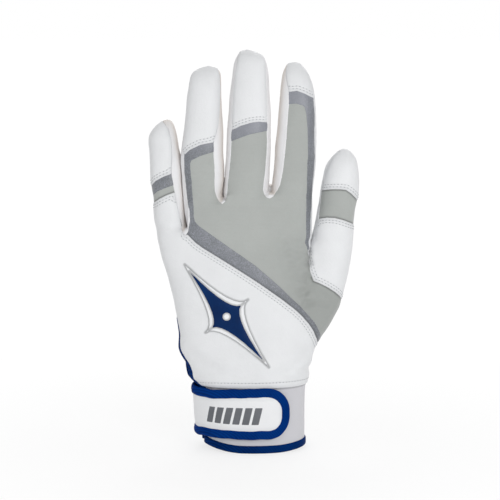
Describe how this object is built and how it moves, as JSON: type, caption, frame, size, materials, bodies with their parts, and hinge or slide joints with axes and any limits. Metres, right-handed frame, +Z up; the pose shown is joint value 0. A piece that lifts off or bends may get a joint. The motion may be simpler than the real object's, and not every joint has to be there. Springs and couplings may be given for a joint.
{
  "type": "batting glove",
  "caption": "Left-hand batting glove of sewn leather and stretch panels, with jointed fingers and thumb, a bound cuff and a strap that closes with hook and loop.",
  "frame": {"origin": "middle of the glove's box, on the floor that the cuff's hem stands on", "axes": "+Z up the fingers, -Y out of the back of the hand, +X towards the thumb"},
  "size_m": [0.1176, 0.0456, 0.226],
  "materials": {
    "white_leather": "white synthetic leather, soft sheen",
    "cuff_cloth": "white padded cloth",
    "grey_stretch": "grey stretch panel, matte",
    "dark_satin": "dark grey satin leather",
    "blue_tape": "blue woven tape",
    "blue_badge": "moulded navy badge",
    "pile": "hook or loop pile"
  },
  "bodies": {
    "hand": {"wrist_back_panel": "white_leather", "diagonal_band": "dark_satin", "hand_back_panel": "grey_stretch", "side_band": "dark_satin", "palm_panel": "white_leather", "cuff_back": "cuff_cloth", "cuff_palm": "cuff_cloth", "wrist_elastic": "cuff_cloth", "cuff_hem_binding": "blue_tape", "slit_binding": "blue_tape", "loop_patch": "pile", "badge_border": "white_leather", "badge": "blue_badge", "strap_root": "white_leather", "crotch_gusset_pinky_ring": "white_leather", "crotch_gusset_ring_middle": "white_leather", "crotch_gusset_middle_index": "white_leather"},
    "strap": {"strap": "white_leather", "strap_binding": "blue_tape", "hook_patch": "pile"},
    "pinky_base": {"pinky_back_base": "white_leather", "pinky_stripe": "grey_stretch", "pinky_band": "dark_satin", "pinky_palm_base": "white_leather", "pinky_gusset_base": "white_leather"},
    "pinky_tip": {"pinky_tip_cap": "white_leather", "pinky_palm_tip": "white_leather", "pinky_gusset_tip": "white_leather"},
    "ring_base": {"ring_back": "grey_stretch", "ring_band": "dark_satin", "ring_palm_base": "white_leather", "ring_outer_gusset_base": "white_leather", "ring_inner_gusset_base": "white_leather"},
    "ring_tip": {"ring_tip_cap": "white_leather", "ring_palm_tip": "white_leather", "ring_outer_gusset_tip": "white_leather", "ring_inner_gusset_tip": "white_leather"},
    "middle_base": {"middle_back": "grey_stretch", "middle_band": "dark_satin", "middle_palm_base": "white_leather", "middle_outer_gusset_base": "white_leather", "middle_inner_gusset_base": "white_leather"},
    "middle_tip": {"middle_tip_cap": "white_leather", "middle_palm_tip": "white_leather", "middle_outer_gusset_tip": "white_leather", "middle_inner_gusset_tip": "white_leather"},
    "index_base": {"index_back_base": "grey_stretch", "index_edge_band": "dark_satin", "index_palm_base": "white_leather", "index_gusset_base": "white_leather"},
    "index_tip": {"index_back_tip": "grey_stretch", "index_band": "dark_satin", "index_tip_cap": "white_leather", "index_palm_tip": "white_leather", "index_gusset_tip": "white_leather"},
    "thumb_base": {"thumb_back_panel": "white_leather", "thumb_flex_panel": "grey_stretch", "thumb_palm_base": "white_leather"},
    "thumb_tip": {"thumb_tip_cap": "white_leather", "thumb_palm_tip": "white_leather"}
  },
  "joints": [
    {"name": "pinky_root_flex", "type": "hinge", "parent": "hand", "child": "pinky_base", "pos_m": [-0.04818, 0.01198, 0.1277], "axis": [-1, 0, 0], "range_deg": [0, 85]},
    {"name": "pinky_knuckle_flex", "type": "hinge", "parent": "pinky_base", "child": "pinky_tip", "pos_m": [-0.04818, 0.01325, 0.15366], "axis": [-1, 0, 0], "range_deg": [0, 90]},
    {"name": "ring_root_flex", "type": "hinge", "parent": "hand", "child": "ring_base", "pos_m": [-0.0275, 0.01187, 0.1421], "axis": [-1, 0, 0], "range_deg": [0, 85]},
    {"name": "ring_knuckle_flex", "type": "hinge", "parent": "ring_base", "child": "ring_tip", "pos_m": [-0.0275, 0.01298, 0.17109], "axis": [-1, 0, 0], "range_deg": [0, 90]},
    {"name": "middle_root_flex", "type": "hinge", "parent": "hand", "child": "middle_base", "pos_m": [-0.00303, 0.01147, 0.1475], "axis": [-1, 0, 0], "range_deg": [0, 85]},
    {"name": "middle_knuckle_flex", "type": "hinge", "parent": "middle_base", "child": "middle_tip", "pos_m": [-0.00303, 0.01302, 0.184], "axis": [-1, 0, 0], "range_deg": [0, 90]},
    {"name": "index_root_flex", "type": "hinge", "parent": "hand", "child": "index_base", "pos_m": [0.02245, 0.01228, 0.1475], "axis": [-1, 0, 0], "range_deg": [0, 85]},
    {"name": "index_knuckle_flex", "type": "hinge", "parent": "index_base", "child": "index_tip", "pos_m": [0.02245, 0.01352, 0.17753], "axis": [-1, 0, 0], "range_deg": [0, 90]},
    {"name": "thumb_root_flex", "type": "hinge", "parent": "hand", "child": "thumb_base", "pos_m": [0.03956, 0.01908, 0.10114], "axis": [-0.5446, 0, 0.8387], "range_deg": [0, 30]},
    {"name": "thumb_knuckle_flex", "type": "hinge", "parent": "thumb_base", "child": "thumb_tip", "pos_m": [0.04806, 0.01835, 0.1456], "axis": [-0.9925, 0, 0.1219], "range_deg": [0, 60]},
    {"name": "strap_swing", "type": "hinge", "parent": "hand", "child": "strap", "pos_m": [-0.02857, 0.01355, 0.02325], "axis": [0, 0, -1], "range_deg": [0, 110]}
  ]
}
